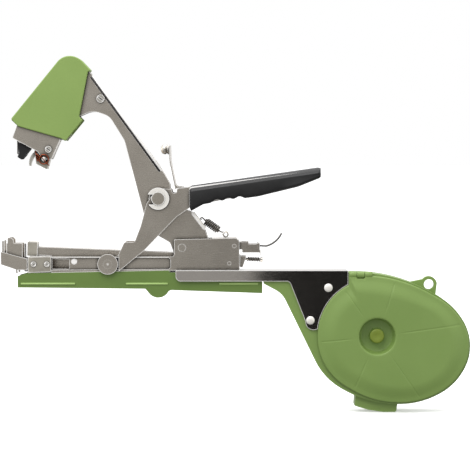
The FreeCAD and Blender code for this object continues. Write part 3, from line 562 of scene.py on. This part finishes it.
def cut_slot(thing, low, high):
    """Cut a box, in millimetres, out of a piece for good."""
    mesh = bpy.data.meshes.new("slot")
    mesh.from_pydata([Vector((x, y, z)) * MM for x in (low[0], high[0]) for y in (low[1], high[1])
                      for z in (low[2], high[2])],
                     [], [(0, 1, 3, 2), (4, 6, 7, 5), (0, 4, 5, 1), (2, 3, 7, 6), (0, 2, 6, 4), (1, 5, 7, 3)])
    tool = bpy.data.objects.new("slot", mesh)
    bpy.context.scene.collection.objects.link(tool)
    cut = thing.modifiers.new("slot", "BOOLEAN")
    cut.operation = "DIFFERENCE"
    cut.solver = "EXACT"
    cut.object = tool
    bpy.context.view_layer.update()
    finished = bpy.data.meshes.new_from_object(thing.evaluated_get(bpy.context.evaluated_depsgraph_get()))
    thing.modifiers.clear()
    thing.data = finished
    bpy.data.objects.remove(tool)


def grip_piece():
    """The sleeve, with the slot cut into it."""
    loops = [grip_section(GRIP_FRONT + GRIP_STEP * k) for k in range(GRIP_STATIONS)]
    grip = build("grip_sleeve", *rings(loops), FINISHES["black_grip"], "operating_handle", "grip",
                 "black_grip")
    cut_slot(grip, *FRONT_SLOT)


grip_piece()


# Small turned pieces.

def stop_button():
    """The round button on the front of the stop leaf."""
    profile = [(0.3, -187.9), (1.6, -187.7), (2.9, -186.9), (3.5, -185.7), (3.6, -184.4), (3.0, -183.8),
               (3.0, -183.3), (3.6, -183.0), (3.6, -181.9), (0.3, -181.9)]
    build("leaf_button", *rings(turned_x(BUTTON, profile)), FINISHES["pin_steel"], "operating_handle",
          "leaf_bumper", "black_rubber")


def rivets():
    """Domed rivet heads on the bracket, in the near-white steel that paints a highlight."""
    dome = [(2.9, 10.1), (2.9, 10.35), (2.7, 10.7), (2.2, 11.1), (1.5, 11.35), (0.8, 11.45), (0.1, 11.47)]
    build("rivet_domes", *joined(*[on_both_sides(place, dome) for place in CASE_RIVETS]), HIGHLIGHT_STEEL,
          "root", "bracket_rivets", "pin_steel")


def boss_rings():
    """Two raised rings and a centre point on the faces of the handle's front boss."""
    profile = [(5.6, 9.55), (5.5, 9.8), (5.0, 9.8), (4.8, 9.62), (3.6, 9.62), (3.4, 9.85), (2.7, 9.85),
               (2.5, 9.65), (1.2, 9.65), (0.9, 9.9), (0.1, 9.95)]
    build("boss_rings", *on_both_sides(HANDLE_ROLLER, profile), FINISHES["nickel_steel"],
          "operating_handle", slot="nickel_steel")


def spot_welds():
    """A bright spot in each side track, a painted highlight in near-white steel, low enough for the rollers
    to pass over.
    """
    profile = [(2.1, 6.75), (2.0, 6.86), (1.2, 6.92), (0.1, 6.94)]
    build("spot_welds", *on_both_sides(FRAME_SPOT, profile, 28), HIGHLIGHT_STEEL, "root", slot="nickel_steel")


# Folded edges and ribs.

def bead(name, start, end, y, radius, finish, flat):
    """A rounded bead along a folded edge of the arm, from (x, z) to (x, z) on both sides."""
    across = Vector((0, 1, 0))
    way = (Vector((end[0], 0, end[1])) - Vector((start[0], 0, start[1]))).normalized()
    up = way.cross(across)
    skins = []
    for side in (-1, 1):
        loops = []
        for place, size in ((start, 0.3), (start, 1.0), (end, 1.0), (end, 0.3)):
            beyond = way * (radius * (1 - size)) * (-1 if place == start else 1)
            centre = Vector((place[0], y * side, place[1])) + beyond
            loops.append([centre + (up * math.cos(a) + across * math.sin(a) * flat) * radius * size
                          for a in circle(16)])
        skins.append(rings(loops))
    build(name, *joined(*skins), finish, "clincher_arm", slot="nickel_steel")


def base_ribs():
    """Three low ribs along each side of the base cover, in a lighter green that paints their highlight."""
    skins = []
    for start, end in ((-285.8, -247.3), (-212.4, -182.7), (-147.3, -119.6)):
        for side in (-1, 1):
            loops = []
            for x, size in ((start, 0.2), (start + 0.5, 1.0), (end - 0.5, 1.0), (end, 0.2)):
                loops.append([(x, (8.0 + 0.62 * size * max(-0.2, math.sin(a))) * side,
                               0.8 + 0.75 * size * math.cos(a)) for a in circle(16)])
            skins.append(rings(loops))
    build("base_ribs", *joined(*skins), RIB_HIGHLIGHT_GREEN, "root", slot="green_case")


# Wound wires.

def wire(path, radius, around=8):
    """A round wire through a list of points, with closed ends."""
    path = [Vector(p) for p in path]
    loops = []
    side = Vector((0, 1, 0))
    for i, here in enumerate(path):
        way = (path[min(i + 1, len(path) - 1)] - path[max(i - 1, 0)]).normalized()
        side = (side - way * side.dot(way)).normalized()
        up = way.cross(side)
        loops.append([here + (side * math.cos(a) + up * math.sin(a)) * radius for a in circle(around)])
    return rings(loops)


def coil(start, end, radius, turns, per_turn=16):
    """Points of a helix between two points, drawn in to its axis at both ends."""
    start, end = Vector(start), Vector(end)
    way = (end - start).normalized()
    side = Vector((0, 1, 0))
    up = way.cross(side)
    count = int(turns * per_turn)
    points = []
    for k in range(count + 1):
        share = k / count
        size = radius * min(1.0, share * turns * 2, (1 - share) * turns * 2)
        angle = share * turns * TAU
        out = side * math.cos(angle) + up * math.sin(angle)
        points.append(start + (end - start) * share + out * size)
    return points


def return_spring():
    """From the arm's rear flange to the eye on the box: it stretches as the jaw closes."""
    hook = [(-159.6, 0, 45.2), (-160.1, 0, 46.4), (-159.2, 0, 46.9), (-157.9, 0, 45.9)]
    middle = coil((-156.9, 0, 44.6), (-147.2, 0, 37.6), 2.5, 9)
    eye = [(-145.6, 0, 36.6), (-144.2, 0, 36.5), (-143.3, 0, 35.6)]
    thing = build("return_coil", *wire(hook + middle + eye, 0.5), FINISHES["spring_steel"], None,
                  "return_spring", "spring_steel")
    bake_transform(thing)


def lift_spring():
    """Under the magazine: it is pressed flat as the magazine tilts."""
    thick = 0.4
    low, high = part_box("magazine_lift_spring")
    centre = (low + high) / 2 / MM
    bottom, top = low.z / MM + thick, high.z / MM - thick
    thing = build("lift_coil", *wire(coil((centre.x, 0, bottom), (centre.x, 0, top), 2.4, 5), thick),
                  FINISHES["spring_steel"], "root", "magazine_lift_spring", "spring_steel")
    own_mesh(thing)


def follower_spring():
    """Behind the staples, sloping down to the rear: pulling the knob presses it together."""
    reach = 1.55              # from the coil's middle line to its outside
    low, high = (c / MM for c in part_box("pusher_spring"))
    start, end = Vector((low.x + 0.3, 0, high.z - reach)), Vector((high.x - 0.3, 0, low.z + reach))
    thing = build("follower_coil", *wire(coil(start, end, 1.2, 30, 10), 0.25, 6), FINISHES["spring_steel"],
                  "magazine", "pusher_spring", "spring_steel")
    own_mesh(thing)


def jaw_wire():
    """The red-brown spring wire wound round its stud beside the jaw, with its two legs."""
    winding = []
    for k in range(45):
        angle = math.radians(150 + k * 16)
        winding.append((JAW_STUD[0] + 3.3 * math.cos(angle), -7.3 - 0.016 * k,
                        JAW_STUD[1] + 3.3 * math.sin(angle)))
    upper_leg = [(-274.8, -7.2, 91.4), (-273.6, -7.25, 91.0)]
    lower_leg = [(-266.4, -8.0, 84.2), (-265.2, -8.0, 83.4)]
    build("jaw_wire", *wire(upper_leg + winding + lower_leg, 0.38), FINISHES["copper_wire"], "clincher_arm",
          slot="copper_wire")
    stud = [(1.5, -5.0), (1.5, -7.9), (1.2, -8.1), (0.2, -8.15)]
    build("jaw_stud", *rings(turned(JAW_STUD, stud, 28)), FINISHES["pin_steel"], "clincher_arm",
          slot="pin_steel")


return_spring()
lift_spring()
follower_spring()
jaw_wire()
stop_button()
rivets()
boss_rings()
spot_welds()
base_ribs()
# The bright beads paint highlights along the arm's folded flanges; the dark bead inside the front one paints
# the shadow under it.
bead("arm_front_flange", (-235.0, 145.4), (-187.2, 80.0), 5.5, 0.55, HIGHLIGHT_STEEL, 0.5)
bead("arm_flange_shade", (-236.0, 144.6), (-188.6, 79.4), 5.55, 0.8, FLANGE_SHADE, 0.25)
bead("arm_rear_flange", (-165.4, 49.9), (-157.4, 39.4), 5.5, 1.1, HIGHLIGHT_STEEL, 0.5)


# ---------------------------------------------------------------- studio

# The sky dims below the horizon, so that the undersides keep some shade.
world = bpy.data.worlds.new("studio")
bpy.context.scene.world = world
world.use_nodes = True
sky = world.node_tree
ray = sky.nodes.new("ShaderNodeTexCoord").outputs["Generated"]
split = sky.nodes.new("ShaderNodeSeparateXYZ")
sky.links.new(ray, split.inputs["Vector"])
ramp = sky.nodes.new("ShaderNodeMapRange")
for key, value in (("From Min", -0.35), ("From Max", -0.05), ("To Min", 0.30), ("To Max", 1.0)):
    ramp.inputs[key].default_value = value
sky.links.new(split.outputs["Z"], ramp.inputs["Value"])
sky.links.new(ramp.outputs["Result"], sky.nodes["Background"].inputs["Strength"])
sky.nodes["Background"].inputs["Color"].default_value = (1, 1, 1, 1)


def floor_paper():
    """Matt white paper with a little light of its own."""
    material = bpy.data.materials.new("floor_paper")
    material.use_nodes = True
    shader = material.node_tree.nodes["Principled BSDF"]
    for key, value in (("Base Color", (0.96, 0.96, 0.96, 1)), ("Roughness", 0.9),
                       ("Emission Color", (1, 1, 1, 1)), ("Emission Strength", 0.35)):
        shader.inputs[key].default_value = value
    return material


def glowing(name, value):
    """A flat grey that gives off light and reflects none."""
    material = bpy.data.materials.new(name)
    material.use_nodes = True
    tree = material.node_tree
    tree.nodes.clear()
    light = tree.nodes.new("ShaderNodeEmission")
    light.inputs["Color"].default_value = (value, value, value * 0.97, 1)
    out = tree.nodes.new("ShaderNodeOutputMaterial")
    tree.links.new(light.outputs["Emission"], out.inputs["Surface"])
    return material


def panel(name, corners, material):
    """A flat sheet of the studio, in metres."""
    mesh = bpy.data.meshes.new(name)
    mesh.from_pydata([Vector(c) for c in corners], [], [tuple(range(len(corners)))])
    mesh.materials.append(material)
    thing = bpy.data.objects.new(name, mesh)
    bpy.context.scene.collection.objects.link(thing)
    return thing


FLOOR_Z = first_box[0].z - 0.0002
FAR = 14.0
floor = panel("floor", [(x, y, FLOOR_Z) for x, y in ((-FAR, -FAR), (FAR, -FAR), (FAR, FAR), (-FAR, FAR))],
              floor_paper())
floor.visible_glossy = False
floor.visible_diffuse = False


def card(name, x0, x1, y, z0, z1, value):
    """A grey sheet behind the camera, seen only in the shine of the metal."""
    sheet = panel(name, [(x0, y, z0), (x1, y, z0), (x1, y, z1), (x0, y, z1)], glowing(name, value))
    sheet.visible_camera = False
    sheet.visible_diffuse = False
    sheet.visible_shadow = False
    sheet.visible_transmission = False


card("grey_card", -1.6, 1.4, -1.60, -0.9, 0.75, 0.42)
card("dark_card", -0.105, 0.55, -1.45, -0.5, 0.16, 0.02)


def lamp(name, place, aim, size, power):
    """A square soft light, in metres and watts."""
    data = bpy.data.lights.new(name, "AREA")
    data.shape = "SQUARE"
    data.size = size
    data.energy = power
    thing = bpy.data.objects.new(name, data)
    thing.location = place
    thing.rotation_mode = "QUATERNION"
    thing.rotation_quaternion = (Vector(aim) - Vector(place)).to_track_quat("-Z", "Y")
    bpy.context.scene.collection.objects.link(thing)


# The key stands high and to the left, and a weak lamp behind lifts the top edges.
MIDDLE = (-0.13, 0, 0.03)
lamp("key", (-0.5, -0.7, 1.1), MIDDLE, 0.9, 9)
lamp("top", (-0.1, 0.3, 1.2), MIDDLE, 1.0, 6)

camera_data = bpy.data.cameras.new("camera")
camera_data.lens = 131.0
camera_data.sensor_width = 36.0
camera = bpy.data.objects.new("camera", camera_data)
bpy.context.scene.collection.objects.link(camera)
bpy.context.scene.camera = camera
TARGET = Vector((-0.1360, 0.0, 0.0345))
DISTANCE = 1.2
ELEVATION = math.radians(3.0)
camera.location = TARGET + Vector((0, -math.cos(ELEVATION), math.sin(ELEVATION))) * DISTANCE
camera.rotation_mode = "QUATERNION"
camera.rotation_quaternion = (TARGET - camera.location).to_track_quat("-Z", "Y")
bpy.context.scene.view_settings.view_transform = "Standard"
